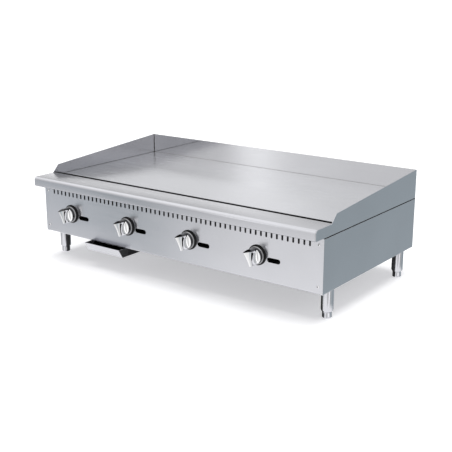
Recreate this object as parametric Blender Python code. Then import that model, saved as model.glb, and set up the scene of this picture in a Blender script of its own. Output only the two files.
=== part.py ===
"""Countertop gas griddle: flat steel plate, splashes, control panel, gas train, drawer and legs.

Metres, +Z up. The origin is on the floor, under the middle of the whole object. The front faces -Y
and the user's right hand is at +X. Depths are measured backwards from the front of the ledge.
"""

from math import cos, pi, radians, sin

import bmesh
import bpy
from mathutils import Matrix, Vector

# Driving dimensions, in metres.
WIDTH = 1.219                # across the sides
TOP_DEPTH = 0.678            # front of the ledge to the back of the rear splash
LEG_HEIGHT = 0.097           # floor to the underside of the body
BODY_HEIGHT = 0.182          # underside of the body to the seam under the lift-off top
LEDGE_HEIGHT = 0.035         # seam to the top of the ledge
KNEE_HEIGHT = 0.063          # seam to the corner at the front of each side splash
SPLASH_HEIGHT = 0.102        # seam to the top of the rear splash
LEDGE_DEPTH = 0.100
NOSE_RADIUS = 0.012
TIP_DEPTH = 0.093            # where a side splash rises out of the ledge
KNEE_DEPTH = 0.120
PANEL_DEPTH = 0.050          # front of the control panel behind the front of the ledge
PLATE_FRONT = 0.150
PLATE_DROP = 0.010           # cooking surface below the ledge
INLET_LENGTH = 0.034         # gas inlet behind the rear panel
HEAVY_SHEET = 0.002          # lift-off top
SHEET = 0.0015               # casing
FLANGE = 0.018
SIDE_TOP_FLANGE = 0.025
SIDE_BOTTOM_FLANGE = 0.012
GAP = 0.0003                 # clearance between neighbouring pieces

BURNER_COUNT = 4
BURNER_PITCH = 0.2794
BURNER_RADIUS = 0.016
BURNER_LEG_OFFSET = 0.0525   # each leg of the U from the middle of its burner
KNOB_DROP = 0.097            # knob axis below the seam
KNOB_RADIUS = 0.030
KNOB_LENGTH = 0.047          # panel to the face of the grip
KNOB_RIM = 0.030             # panel to the rim of the dished face
KNOB_DISH = 0.0212           # panel to the bottom of the dish
KNOB_TILT = -17              # degrees; the head of the grip leans to the left
STEM_RADIUS = 0.004
STEM_LENGTH = 0.0185         # in front of the panel
LIGHT_SLOT_OFFSET = 0.0627   # lighting slot to the right of its knob
LIGHT_SLOT_DROP = 0.0085     # and below the knob axis
LIGHT_SLOT_LENGTH = 0.050
LIGHT_SLOT_HEIGHT = 0.016
VENT_COUNT = 57
VENT_PITCH = 0.020
VENT_WIDTH = 0.007
SCREW_X = 0.592
MANIFOLD_DEPTH = 0.090
MANIFOLD_DROP = 0.035        # manifold axis below the knob axis
PIPE_RADIUS = 0.0134
PIPE_BORE = 0.0105
SUPPLY_X = 0.537

DRAWER_X = -0.295
DRAWER_WIDTH = 0.171
DRAWER_HEIGHT = 0.0315
DRAWER_FRONTS = (0.020, 0.039)   # depth of the leaning front at its top and bottom
DRAWER_BACK = 0.320
CHUTE_DEPTH = 0.125
CHUTE_RADIUS = 0.019

LEG_X = 0.5865
LEG_DEPTHS = {"front": 0.120, "rear": 0.610}
LEG_RADIUS = 0.020
FOOT_HEIGHT = 0.022
FOOT_RADIUS = 0.0155
STUD_RADIUS = 0.006

# Levels and places that follow from them.
FRONT_Y = -(TOP_DEPTH + INLET_LENGTH) / 2
HALF = WIDTH / 2
BODY_BOTTOM = LEG_HEIGHT
SEAM = BODY_BOTTOM + BODY_HEIGHT
LEDGE_TOP = SEAM + LEDGE_HEIGHT
PLATE_TOP = LEDGE_TOP - PLATE_DROP
SPLASH_TOP = SEAM + SPLASH_HEIGHT
INSIDE = HALF - HEAVY_SHEET - GAP            # half width between the side splashes
AXIS_Z = SEAM - KNOB_DROP
MANIFOLD_Z = AXIS_Z - MANIFOLD_DROP
PAN_Z = BODY_BOTTOM + SHEET + GAP            # underside of the bottom pan
PAN_TOP = PAN_Z + SHEET + GAP
BURNER_XS = [(i - (BURNER_COUNT - 1) / 2) * BURNER_PITCH for i in range(BURNER_COUNT)]
KNOB_XS = [x - BURNER_LEG_OFFSET for x in BURNER_XS]
SLOT_XS = [x + LIGHT_SLOT_OFFSET for x in KNOB_XS]


def clear_scene():
    for old in list(bpy.data.objects):
        bpy.data.objects.remove(old, do_unlink=True)


def make_material(name, colour, roughness, metallic):
    material = bpy.data.materials.new(name)
    material.use_nodes = True
    shader = material.node_tree.nodes["Principled BSDF"]
    shader.inputs["Base Color"].default_value = (*colour, 1)
    shader.inputs["Roughness"].default_value = roughness
    shader.inputs["Metallic"].default_value = metallic
    return material


clear_scene()
STAINLESS = make_material("stainless", (0.62, 0.63, 0.65), 0.32, 1)
PLATE_STEEL = make_material("plate_steel", (0.66, 0.66, 0.67), 0.38, 1)
GALVANISED = make_material("galvanised", (0.45, 0.46, 0.48), 0.5, 1)
CHROME = make_material("chrome", (0.80, 0.81, 0.83), 0.08, 1)
BLACK = make_material("black_bezel", (0.02, 0.02, 0.022), 0.35, 0)
IRON = make_material("burner_steel", (0.30, 0.29, 0.28), 0.6, 1)
BRASS = make_material("brass", (0.70, 0.52, 0.25), 0.3, 1)
PIPE = make_material("black_pipe", (0.08, 0.08, 0.085), 0.5, 0.6)

ROOT = bpy.data.objects.new("griddle", None)
bpy.context.collection.objects.link(ROOT)


# ---------------------------------------------------------------- shape helpers

def place(name, bm, material, at=(0, 0, 0), turn=(0, 0, 0), smooth=False):
    """Turn a bmesh into a named object under the griddle's empty; at[1] is a depth."""
    bmesh.ops.recalc_face_normals(bm, faces=bm.faces)
    mesh = bpy.data.meshes.new(name)
    bm.to_mesh(mesh)
    bm.free()
    obj = bpy.data.objects.new(name, mesh)
    bpy.context.collection.objects.link(obj)
    obj.parent = ROOT
    obj.location = (at[0], FRONT_Y + at[1], at[2])
    obj.rotation_euler = turn
    if material:
        mesh.materials.append(material)
    if smooth:
        mesh.shade_smooth()
        mesh.set_sharp_from_angle(angle=radians(35))
    return obj


def copy_of(obj, name, at, turn=(0, 0, 0)):
    """A second piece made from the same mesh, with the same cuts and joins."""
    twin = bpy.data.objects.new(name, obj.data)
    bpy.context.collection.objects.link(twin)
    twin.parent = ROOT
    twin.location = (at[0], FRONT_Y + at[1], at[2])
    twin.rotation_euler = turn
    return twin


def prism(outline, start, end, axis):
    """Extrude a flat outline along X, Y or Z; the outline holds the other two coordinates in order."""
    spots = {
        "X": lambda u, v, s: (s, u, v),
        "Y": lambda u, v, s: (u, s, v),
        "Z": lambda u, v, s: (u, v, s),
    }
    spot = spots[axis]
    bm = bmesh.new()
    near = [bm.verts.new(spot(u, v, start)) for u, v in outline]
    bm.faces.new(near)
    moved = bmesh.ops.extrude_face_region(bm, geom=bm.faces[:])["geom"]
    shift = Vector(spot(0, 0, end - start))
    bmesh.ops.translate(bm, vec=shift, verts=[v for v in moved if isinstance(v, bmesh.types.BMVert)])
    return bm


def box(low, high):
    bm = bmesh.new()
    bmesh.ops.create_cube(bm, size=1)
    size = Vector(high) - Vector(low)
    middle = (Vector(high) + Vector(low)) / 2
    matrix = Matrix.Translation(middle) @ Matrix.Diagonal((*size, 1))
    bmesh.ops.transform(bm, matrix=matrix, verts=bm.verts)
    return bm


def merged(*parts):
    """Several meshes in one bmesh, for a cutter made of separate bodies."""
    whole = bmesh.new()
    for part in parts:
        mesh = bpy.data.meshes.new("part")
        bmesh.ops.recalc_face_normals(part, faces=part.faces)
        part.to_mesh(mesh)
        part.free()
        whole.from_mesh(mesh)
        bpy.data.meshes.remove(mesh)
    return whole


def bent(path, thickness):
    """Closed outline of a sheet whose outer face follows path; the sheet lies to the path's left."""
    points = [Vector(p) for p in path]
    steps = [(b - a).normalized() for a, b in zip(points, points[1:])]
    normals = [Vector((-s.y, s.x)) for s in steps]
    inner = []
    for i, point in enumerate(points):
        first = normals[max(i - 1, 0)]
        second = normals[min(i, len(normals) - 1)]
        inner.append(point + (first + second) * thickness / (1 + first.dot(second)))
    return [tuple(p) for p in points] + [tuple(p) for p in reversed(inner)]


def arc(centre, radius, start, end, steps):
    """Points on a circle, from start to end in degrees."""
    angles = [radians(start + (end - start) * i / steps) for i in range(steps + 1)]
    return [(centre[0] + radius * cos(a), centre[1] + radius * sin(a)) for a in angles]


def stadium(middle, length, height, steps=6):
    """Outline of a slot with round ends, in X and Z."""
    half = height / 2
    reach = length / 2 - half
    right = arc((middle[0] + reach, middle[1]), half, -90, 90, steps)
    left = arc((middle[0] - reach, middle[1]), half, 90, 270, steps)
    return right + left


def lathe(profile, segments, axis="Z"):
    """Turn (radius, height) points about an axis; a radius of 0 closes on the axis."""
    bm = bmesh.new()
    rings = []
    for radius, height in profile:
        count = segments if radius > 0 else 1
        ring = []
        for i in range(count):
            angle = 2 * pi * i / segments
            ring.append(bm.verts.new((radius * cos(angle), radius * sin(angle), height)))
        rings.append(ring)
    pairs = list(zip(rings, rings[1:]))
    if profile[0][0] > 0:
        pairs.append((rings[-1], rings[0]))
    for low, high in pairs:
        for i in range(segments):
            j = (i + 1) % segments
            corners = [low[i % len(low)], low[j % len(low)], high[j % len(high)], high[i % len(high)]]
            unique = list(dict.fromkeys(corners))
            if len(unique) > 2:
                bm.faces.new(unique)
    if axis == "Y":
        bmesh.ops.rotate(bm, matrix=Matrix.Rotation(-pi / 2, 3, "X"), verts=bm.verts)
    if axis == "X":
        bmesh.ops.rotate(bm, matrix=Matrix.Rotation(pi / 2, 3, "Y"), verts=bm.verts)
    return bm


def disc(radius, low, high, segments, axis="Z"):
    return lathe([(0, low), (radius, low), (radius, high), (0, high)], segments, axis)


def ring_frames(path):
    """Two directions across a path at each of its points, carried along without twist."""
    points = [Vector(p) for p in path]
    across = None
    frames = []
    for i, point in enumerate(points):
        along = (points[min(i + 1, len(points) - 1)] - points[max(i - 1, 0)]).normalized()
        if across is None:
            across = along.orthogonal().normalized()
        across = (across - along * across.dot(along)).normalized()
        frames.append((point, across.copy(), along.cross(across)))
    return frames


def join_rings(bm, low, high):
    for i in range(len(low)):
        j = (i + 1) % len(low)
        bm.faces.new((low[i], low[j], high[j], high[i]))


def skinned(stations, sides):
    """Rings of points around (frame, radius) stations, each joined to the next."""
    bm = bmesh.new()
    rings = []
    for (point, across, up), radius in stations:
        angles = [2 * pi * i / sides for i in range(sides)]
        rings.append([bm.verts.new(point + (across * cos(a) + up * sin(a)) * radius) for a in angles])
    for low, high in zip(rings, rings[1:]):
        join_rings(bm, low, high)
    return bm, rings


def tube(path, radii, sides, wall=None):
    """Round tube along a path: solid, or with a wall and an open far end."""
    frames = ring_frames(path)
    stations = list(zip(frames, radii))
    if wall:
        inner = [(f, r - wall) for f, r in reversed(stations[1:])]
        point, across, up = frames[0]
        along = (Vector(path[1]) - Vector(path[0])).normalized()
        inner.append(((point + along * wall, across, up), radii[0] - wall))
        stations = stations + inner
    bm, rings = skinned(stations, sides)
    bm.faces.new(rings[0])
    bm.faces.new(rings[-1])
    return bm


def open_pipe(path):
    """Gas pipe open at both ends along a path."""
    frames = ring_frames(path)
    stations = [(f, PIPE_RADIUS) for f in frames] + [(f, PIPE_BORE) for f in reversed(frames)]
    bm, rings = skinned(stations, 16)
    join_rings(bm, rings[-1], rings[0])
    return bm


def add_hole(cuts, radius, at, reach, segments=12, axis="Y"):
    """Add a round cutter that reaches both ways from a point (x, depth, z) along an axis."""
    hole = disc(radius, -reach, reach, segments, axis)
    bmesh.ops.translate(hole, vec=at, verts=hole.verts)
    cuts.append(hole)


def with_boolean(obj, bm, operation):
    """Cut from an object, or join to it, the shape in bm, given in the object's own coordinates."""
    helper = place(f"{operation.lower()}_{obj.name}", bm, None)
    helper.parent = obj
    helper.location = (0, 0, 0)
    helper.hide_render = True
    helper.display_type = "WIRE"
    modifier = obj.modifiers.new(operation.lower(), "BOOLEAN")
    modifier.operation = operation
    modifier.solver = "EXACT"
    modifier.object = helper
    return obj


# ---------------------------------------------------------------- lift-off cooking top

def side_outline():
    nose = arc((NOSE_RADIUS, LEDGE_TOP - NOSE_RADIUS), NOSE_RADIUS, 180, 90, 4)
    return nose + [(TIP_DEPTH, LEDGE_TOP), (KNEE_DEPTH, SEAM + KNEE_HEIGHT), (TOP_DEPTH, SPLASH_TOP),
                   (TOP_DEPTH, SEAM), (0, SEAM)]


def cooking_top():
    plate_back = TOP_DEPTH - HEAVY_SHEET - GAP
    plate = box((-INSIDE, PLATE_FRONT, SEAM), (INSIDE, plate_back, PLATE_TOP))
    place("griddle_plate", plate, PLATE_STEEL)
    for name, x in (("splash_side_left", -HALF), ("splash_side_right", HALF - HEAVY_SHEET)):
        place(name, prism(side_outline(), x, x + HEAVY_SHEET, "X"), STAINLESS)
    rear = box((-INSIDE, TOP_DEPTH - HEAVY_SHEET, SEAM), (INSIDE, TOP_DEPTH, SPLASH_TOP))
    place("splash_rear", rear, STAINLESS)
    lip = 0.022
    nose = arc((NOSE_RADIUS, LEDGE_TOP - NOSE_RADIUS), NOSE_RADIUS, 90, 180, 6)
    rear_lip = [(LEDGE_DEPTH, LEDGE_TOP - lip), (LEDGE_DEPTH, LEDGE_TOP)]
    ledge = rear_lip + nose + [(0, SEAM), (FLANGE, SEAM)]
    place("front_ledge", prism(bent(ledge, HEAVY_SHEET), -INSIDE, INSIDE, "X"), STAINLESS)


def grease_path():
    """Trough between the ledge and the plate, and the chute from its drain down to the drawer."""
    front = LEDGE_DEPTH + GAP
    back = PLATE_FRONT - GAP
    bottom = SEAM + GAP
    edge_drop = 0.003
    channel = [(front, LEDGE_TOP - edge_drop), (front, bottom), (back, bottom),
               (back, PLATE_TOP - edge_drop)]
    trough = place("grease_trough", prism(bent(channel, HEAVY_SHEET), -INSIDE, INSIDE, "X"), STAINLESS)
    cuts = []
    add_hole(cuts, CHUTE_RADIUS - 0.003, (DRAWER_X, CHUTE_DEPTH, bottom), 0.010, 16, "Z")
    with_boolean(trough, merged(*cuts), "DIFFERENCE")
    wall = CHUTE_RADIUS - SHEET
    chute = [(wall, BODY_BOTTOM), (CHUTE_RADIUS, BODY_BOTTOM), (CHUTE_RADIUS, SEAM), (wall, SEAM)]
    place("grease_chute", lathe(chute, 16), GALVANISED, (DRAWER_X, CHUTE_DEPTH, 0), smooth=True)


# ---------------------------------------------------------------- casing

def corner_notches(near, far):
    """Cutters that clear the flanges of the front or rear panel around the side panels."""
    reach = HALF - SIDE_TOP_FLANGE - 0.001
    return [box((side * reach if side > 0 else -HALF - 0.01, near, BODY_BOTTOM - 0.01),
                (HALF + 0.01 if side > 0 else side * reach, far, SEAM + 0.01)) for side in (-1, 1)]


def front_panel():
    """Control panel: vents along the top, lighting slots, and holes for the stems and screws."""
    back = PANEL_DEPTH + FLANGE
    section = [(back, SEAM - GAP), (PANEL_DEPTH, SEAM - GAP), (PANEL_DEPTH, BODY_BOTTOM),
               (back, BODY_BOTTOM)]
    panel = place("front_panel", prism(bent(section, SHEET), -HALF, HALF, "X"), STAINLESS)
    near, far = PANEL_DEPTH - 0.005, PANEL_DEPTH + 0.005
    with_boolean(panel, merged(*corner_notches(PANEL_DEPTH + SHEET, back + 0.01)), "DIFFERENCE")
    cuts = []
    vent_top, vent_bottom = SEAM - 0.008, SEAM - 0.033
    for i in range(VENT_COUNT):
        x = (i - (VENT_COUNT - 1) / 2) * VENT_PITCH
        cuts.append(box((x - VENT_WIDTH / 2, near, vent_bottom), (x + VENT_WIDTH / 2, far, vent_top)))
    for x in SLOT_XS:
        outline = stadium((x, AXIS_Z - LIGHT_SLOT_DROP), LIGHT_SLOT_LENGTH, LIGHT_SLOT_HEIGHT)
        cuts.append(prism(outline, near, far, "Y"))
    for x in KNOB_XS:
        add_hole(cuts, 0.0075, (x, PANEL_DEPTH, AXIS_Z), 0.005)
    for x, z in screw_places():
        add_hole(cuts, 0.0025, (x, PANEL_DEPTH, z), 0.005, 8)
    with_boolean(panel, merged(*cuts), "DIFFERENCE")


def screw_places():
    return [(side * SCREW_X, SEAM - drop) for side in (-1, 1) for drop in (0.023, 0.1565)]


def side_panels():
    top = SEAM - GAP
    for name, side in (("side_panel_left", -1), ("side_panel_right", 1)):
        section = [(side * (HALF - SIDE_BOTTOM_FLANGE), BODY_BOTTOM), (side * HALF, BODY_BOTTOM),
                   (side * HALF, top), (side * (HALF - SIDE_TOP_FLANGE), top)]
        outline = bent(section if side > 0 else section[::-1], SHEET)
        place(name, prism(outline, PANEL_DEPTH + SHEET + GAP, TOP_DEPTH - SHEET - GAP, "Y"), STAINLESS)


def rear_panel():
    """Back of the casing, with two rows of flue slots and a hole for the gas inlet."""
    front, top = TOP_DEPTH - FLANGE, SEAM - GAP
    section = [(front, BODY_BOTTOM), (TOP_DEPTH, BODY_BOTTOM), (TOP_DEPTH, top), (front, top)]
    panel = place("rear_panel", prism(bent(section, SHEET), -HALF, HALF, "X"), STAINLESS)
    near, far = TOP_DEPTH - 0.005, TOP_DEPTH + 0.005
    cuts = corner_notches(front - 0.01, TOP_DEPTH - SHEET)
    slots, pitch, length = 11, 0.100, 0.070
    for row in (0.030, 0.048):
        for i in range(slots):
            outline = stadium(((i - (slots - 1) / 2) * pitch, SEAM - row), length, 0.009, 4)
            cuts.append(prism(outline, near, far, "Y"))
    add_hole(cuts, PIPE_RADIUS + 0.001, (SUPPLY_X, TOP_DEPTH, MANIFOLD_Z), 0.005, 16)
    with_boolean(panel, merged(*cuts), "DIFFERENCE")


def bottom_pan():
    """Floor of the casing, with an air opening under each burner."""
    edge = HALF - SHEET - GAP
    front, back = PANEL_DEPTH + SHEET + GAP, TOP_DEPTH - SHEET - GAP
    pan = place("bottom_pan", box((-edge, front, PAN_Z), (edge, back, PAN_Z + SHEET)), GALVANISED)
    low, high, air_half = PAN_Z - 0.01, PAN_Z + 0.01, 0.055
    cuts = []
    for x in BURNER_XS:
        cuts.append(box((x - air_half, 0.29, low), (x + air_half, 0.51, high)))
    holes = [(DRAWER_X, CHUTE_DEPTH, CHUTE_RADIUS + 0.001)]
    holes += [(side * LEG_X, depth, STUD_RADIUS + 0.0005)
              for side in (-1, 1) for depth in LEG_DEPTHS.values()]
    for x, depth, radius in holes:
        add_hole(cuts, radius, (x, depth, PAN_Z), 0.010, 12, "Z")
    with_boolean(pan, merged(*cuts), "DIFFERENCE")


def frame_rails():
    """Angles along both sides that the legs screw into, and two rails that carry the burners."""
    thick = 0.003
    outer, inner, top = HALF - SHEET - 2 * GAP, 0.562, PAN_TOP + 0.035
    for name, side in (("base_rail_left", -1), ("base_rail_right", 1)):
        section = [(side * inner, PAN_TOP), (side * outer, PAN_TOP), (side * outer, top)]
        outline = bent(section if side > 0 else section[::-1], thick)
        rail = place(name, prism(outline, 0.054, 0.674, "Y"), GALVANISED)
        cuts = []
        for depth in LEG_DEPTHS.values():
            add_hole(cuts, STUD_RADIUS + 0.0005, (side * LEG_X, depth, PAN_TOP), 0.010, 12, "Z")
        with_boolean(rail, merged(*cuts), "DIFFERENCE")
    web = 0.002
    seat = AXIS_Z - BURNER_RADIUS - GAP - web
    for name, depth in (("burner_rail_front", 0.210), ("burner_rail_rear", 0.530)):
        section = [(depth, PAN_TOP), (depth + 0.025, PAN_TOP),
                   (depth + 0.025, seat), (depth + 0.050, seat)]
        outline = bent(section, web)
        place(name, prism(outline, -0.505, 0.505, "X"), GALVANISED)


def front_baffle():
    """Sheet that keeps the burner heat off the valves, open where the burners and pilots pass."""
    depth, back = 0.170, 0.190
    section = [(depth, SEAM - 0.004), (depth, PAN_TOP), (back, PAN_TOP)]
    baffle = place("front_baffle", prism(bent(section, 0.001), -0.5615, 0.5615, "X"), GALVANISED)
    near, far = depth - 0.005, depth + 0.005
    cuts = []
    for x in KNOB_XS:
        add_hole(cuts, BURNER_RADIUS + 0.002, (x, depth, AXIS_Z), 0.005)
    for x in SLOT_XS:
        cuts.append(box((x - 0.026, near, AXIS_Z - 0.020), (x + 0.026, far, AXIS_Z + 0.010)))
    add_hole(cuts, PIPE_RADIUS + 0.002, (SUPPLY_X, depth, MANIFOLD_Z), 0.005)
    with_boolean(baffle, merged(*cuts), "DIFFERENCE")


# ---------------------------------------------------------------- gas train

def burners():
    """A U of tube lying flat: closed at the front of its right leg, open at the left leg's mixer."""
    leg, bend_depth = BURNER_LEG_OFFSET, 0.585
    mixer_end, tube_start, throat = 0.134, 0.205, 0.155
    turn = [(x, bend_depth + y) for x, y in arc((0, 0), leg, 0, 180, 6)]
    path = [(leg, tube_start, 0)] + [(x, y, 0) for x, y in turn]
    path += [(-leg, 0.190, 0), (-leg, throat, 0), (-leg, mixer_end, 0)]
    radii = [BURNER_RADIUS] * (len(path) - 2) + [BURNER_RADIUS - 0.002, BURNER_RADIUS + 0.003]
    first = None
    for i, x in enumerate(BURNER_XS):
        name = f"burner_{i + 1}"
        if first:
            copy_of(first, name, (x, 0, AXIS_Z))
        else:
            first = place(name, tube(path, radii, 12, wall=0.0015), IRON, (x, 0, AXIS_Z), smooth=True)


def pilots():
    """Pilot tubes from the manifold back to a hooded head between the legs of each burner."""
    rise = MANIFOLD_Z + PIPE_RADIUS + GAP
    run = AXIS_Z - 0.011
    path = [(0, MANIFOLD_DEPTH, rise), (0, MANIFOLD_DEPTH, run - 0.006), (0, MANIFOLD_DEPTH + 0.006, run),
            (0, 0.196, run), (0, 0.202, run + 0.006), (0, 0.202, run + 0.012), (0, 0.202, run + 0.013),
            (0, 0.202, run + 0.024)]
    radii = [0.003] * 6 + [0.007, 0.007]
    first = None
    for i, x in enumerate(SLOT_XS):
        name = f"pilot_{i + 1}"
        if first:
            copy_of(first, name, (x, 0, 0))
        else:
            first = place(name, tube(path, radii, 8), BRASS, (x, 0, 0), smooth=True)


def pipework():
    """Manifold along the front, supply pipe, regulator and the inlet behind the rear panel."""
    left_end, right_end = -0.515, SUPPLY_X - 0.024
    length = right_end - left_end
    wall = [(0, 0), (PIPE_RADIUS, 0), (PIPE_RADIUS, length),
            (PIPE_BORE, length), (PIPE_BORE, 0.004), (0, 0.004)]
    corner = (left_end, MANIFOLD_DEPTH, MANIFOLD_Z)
    place("gas_manifold", lathe(wall, 16, "X"), PIPE, corner, smooth=True)
    regulator_depth, half_boss, bend = 0.400, 0.036, 0.020
    elbow = arc((SUPPLY_X - bend, MANIFOLD_DEPTH + bend), bend, -90, 0, 4)
    supply = [(right_end + GAP, MANIFOLD_DEPTH, MANIFOLD_Z)]
    supply += [(x, depth, MANIFOLD_Z) for x, depth in elbow]
    supply.append((SUPPLY_X, regulator_depth - half_boss - GAP, MANIFOLD_Z))
    place("supply_pipe", open_pipe(supply), PIPE, smooth=True)
    inlet_depths = (regulator_depth + half_boss + GAP, TOP_DEPTH + INLET_LENGTH)
    inlet = [(SUPPLY_X, depth, MANIFOLD_Z) for depth in inlet_depths]
    place("inlet_pipe", open_pipe(inlet), PIPE, smooth=True)
    cup = [(0, -0.022), (0.024, -0.022), (0.026, -0.018), (0.026, 0.010), (0.032, 0.012), (0.032, 0.018),
           (0.024, 0.026), (0.012, 0.030), (0.012, 0.040), (0, 0.040)]
    at = (SUPPLY_X, regulator_depth, MANIFOLD_Z)
    regulator = place("pressure_regulator", lathe(cup, 20), GALVANISED, at, smooth=True)
    boss = disc(0.0175, -half_boss, half_boss, 6, "Y")
    with_boolean(regulator, boss, "UNION")


def valves():
    """Gas cocks on top of the manifold, each with a stem that reaches through the panel."""
    bonnet, body, hood, outlet = 0.062, 0.070, 0.112, 0.128
    socket, stem_end = STEM_RADIUS + GAP, 0.080
    shape = [(0, stem_end), (socket, stem_end), (socket, bonnet), (0.010, bonnet), (0.010, body),
             (0.014, body), (0.014, hood), (0.007, hood), (0.007, outlet), (0, outlet)]
    nipple_bottom = MANIFOLD_Z + PIPE_RADIUS + GAP - AXIS_Z
    for i, x in enumerate(KNOB_XS):
        valve = place(f"gas_valve_{i + 1}", lathe(shape, 16, "Y"), BRASS, (x, 0, AXIS_Z), smooth=True)
        nipple = disc(0.008, nipple_bottom, -0.008, 12)
        bmesh.ops.translate(nipple, vec=(0, MANIFOLD_DEPTH, 0), verts=nipple.verts)
        with_boolean(valve, nipple, "UNION")
        stem = disc(STEM_RADIUS, -STEM_LENGTH, stem_end - GAP - PANEL_DEPTH, 12, "Y")
        place(f"valve_stem_{i + 1}", stem, BRASS, (x, PANEL_DEPTH, AXIS_Z), smooth=True)


def hollow_side(start, end, waist, steps=5):
    """Points between start and end along a curve that is drawn in towards the waist."""
    points = []
    for step in range(1, steps):
        t = step / steps
        weights = ((1 - t) ** 2, 2 * t * (1 - t), t ** 2)
        points.append(tuple(sum(w * p[k] for w, p in zip(weights, (start, waist, end))) for k in (0, 1)))
    return points


def grip_outline():
    """Face of the knob's grip: a wide rounded head, hollowed sides and a narrow tail."""
    radius, waist_x, waist_z = 0.0280, 0.0032, -0.002
    head = arc((0, 0), radius, 120, 60, 6)
    tail = arc((0, 0), radius, -80, -100, 2)
    right = hollow_side(head[-1], tail[0], (waist_x, waist_z))
    left = hollow_side(tail[-1], head[0], (-waist_x, waist_z))
    return head + right + tail + left


def knobs():
    """Chrome knobs: a round skirt with a dished face and a raised grip, and a socket for the stem."""
    back, rim, floor = 0.0055, KNOB_RIM, KNOB_DISH
    socket, socket_end = STEM_RADIUS + GAP, STEM_LENGTH + GAP
    rim_radius = KNOB_RADIUS - 0.001
    radii = (rim_radius, 0.022, 0.015, 0.008, 0)
    dish = [(r, -(floor + (rim - floor) * (r / rim_radius) ** 2)) for r in radii]
    skirt = [(0, -socket_end), (socket, -socket_end), (socket, -back), (KNOB_RADIUS, -back),
             (KNOB_RADIUS, -rim + 0.0015)] + dish
    ring = [(0.008, -0.0048), (0.031, -0.0048), (0.034, -0.0030), (0.034, -GAP), (0.008, -GAP)]
    for i, x in enumerate(KNOB_XS):
        at = (x, PANEL_DEPTH, AXIS_Z)
        turn = (0, radians(KNOB_TILT), 0)
        knob = place(f"knob_{i + 1}", lathe(skirt, 32, "Y"), CHROME, at, turn, smooth=True)
        with_boolean(knob, prism(grip_outline(), -KNOB_LENGTH, -(floor - 0.0012), "Y"), "UNION")
        place(f"knob_bezel_{i + 1}", lathe(ring, 32, "Y"), BLACK, at, smooth=True)


# ---------------------------------------------------------------- grease drawer

def grease_drawer():
    """Open tray with a front that leans out as a pull, hung by its side flanges."""
    top = BODY_BOTTOM - 0.0018
    bottom = top - DRAWER_HEIGHT
    half = DRAWER_WIDTH / 2
    front_top, front_bottom = DRAWER_FRONTS
    lean = (front_bottom - front_top) / DRAWER_HEIGHT
    outer = [(front_top, top), (front_bottom, bottom), (DRAWER_BACK, bottom), (DRAWER_BACK, top)]
    inner_bottom = bottom + SHEET
    inner_front = front_top + 0.0018
    inner = [(inner_front, top), (inner_front + lean * (DRAWER_HEIGHT - SHEET), inner_bottom),
             (DRAWER_BACK - SHEET, inner_bottom), (DRAWER_BACK - SHEET, top)]
    bm = bmesh.new()
    rings = []
    for outline, reach in ((outer, half), (inner, half - SHEET)):
        rings.append([[bm.verts.new((side * reach, d, z)) for d, z in outline] for side in (-1, 1)])
    for left, right in rings:
        bm.faces.new(left)
        bm.faces.new(right)
        for i in range(3):
            bm.faces.new((left[i], left[i + 1], right[i + 1], right[i]))
    rim_outer, rim_inner = [[left[0], right[0], right[3], left[3]] for left, right in rings]
    for i in range(4):
        j = (i + 1) % 4
        bm.faces.new((rim_outer[i], rim_outer[j], rim_inner[j], rim_inner[i]))
    drawer = place("grease_drawer", bm, STAINLESS, (DRAWER_X, 0, 0))
    flange_front = PANEL_DEPTH + FLANGE + 0.002
    root, tip = half - 0.0007, half + 0.0105
    flanges = [box((low, flange_front, top - 0.0015), (high, DRAWER_BACK - 0.001, top - 0.0002))
               for low, high in ((-tip, -root), (root, tip))]
    with_boolean(drawer, merged(*flanges), "UNION")


def drawer_rails():
    """Channels under the body that carry the drawer's side flanges."""
    half = DRAWER_WIDTH / 2
    front, back = PANEL_DEPTH + FLANGE + 0.002, DRAWER_BACK - 0.010
    rail_top = BODY_BOTTOM - GAP
    lip = rail_top - 0.0055
    for name, side in (("drawer_rail_left", -1), ("drawer_rail_right", 1)):
        near, far = side * (half + 0.002), side * (half + 0.0125)
        section = [(near, lip), (far, lip), (far, rail_top), (near, rail_top)]
        outline = bent(section if side > 0 else section[::-1], 0.001)
        place(name, prism(outline, front, back, "Y"), GALVANISED, (DRAWER_X, 0, 0))


# ---------------------------------------------------------------- stand and fasteners

def legs():
    """Tube legs with a stud on top and a bore for the foot's stem; each foot screws in from below."""
    leg_low, leg_top = FOOT_HEIGHT + GAP, BODY_BOTTOM - GAP
    bore, bore_top = 0.0060, 0.076
    stud_top = PAN_TOP + 0.015
    leg = [(0, bore_top), (bore, bore_top), (bore, leg_low), (LEG_RADIUS - 0.002, leg_low),
           (LEG_RADIUS, leg_low + 0.005), (LEG_RADIUS, leg_top), (STUD_RADIUS, leg_top),
           (STUD_RADIUS, stud_top), (0, stud_top)]
    foot = [(0, 0), (FOOT_RADIUS - 0.0015, 0), (FOOT_RADIUS, 0.002), (FOOT_RADIUS, FOOT_HEIGHT - 0.001),
            (FOOT_RADIUS - 0.001, FOOT_HEIGHT), (bore - GAP, FOOT_HEIGHT), (bore - GAP, bore_top - GAP),
            (0, bore_top - GAP)]
    for row, depth in LEG_DEPTHS.items():
        for side, x in (("left", -LEG_X), ("right", LEG_X)):
            place(f"leg_{row}_{side}", lathe(leg, 20), STAINLESS, (x, depth, 0), smooth=True)
            place(f"foot_{row}_{side}", lathe(foot, 20), CHROME, (x, depth, 0), smooth=True)


def panel_screws():
    screw = [(0, -0.0022), (0.0028, -0.0019), (0.0042, -0.0006), (0.0042, -GAP), (0.0020, -GAP),
             (0.0020, 0.009), (0, 0.009)]
    for i, (x, z) in enumerate(screw_places()):
        place(f"panel_screw_{i + 1}", lathe(screw, 10, "Y"), STAINLESS, (x, PANEL_DEPTH, z), smooth=True)


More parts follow.
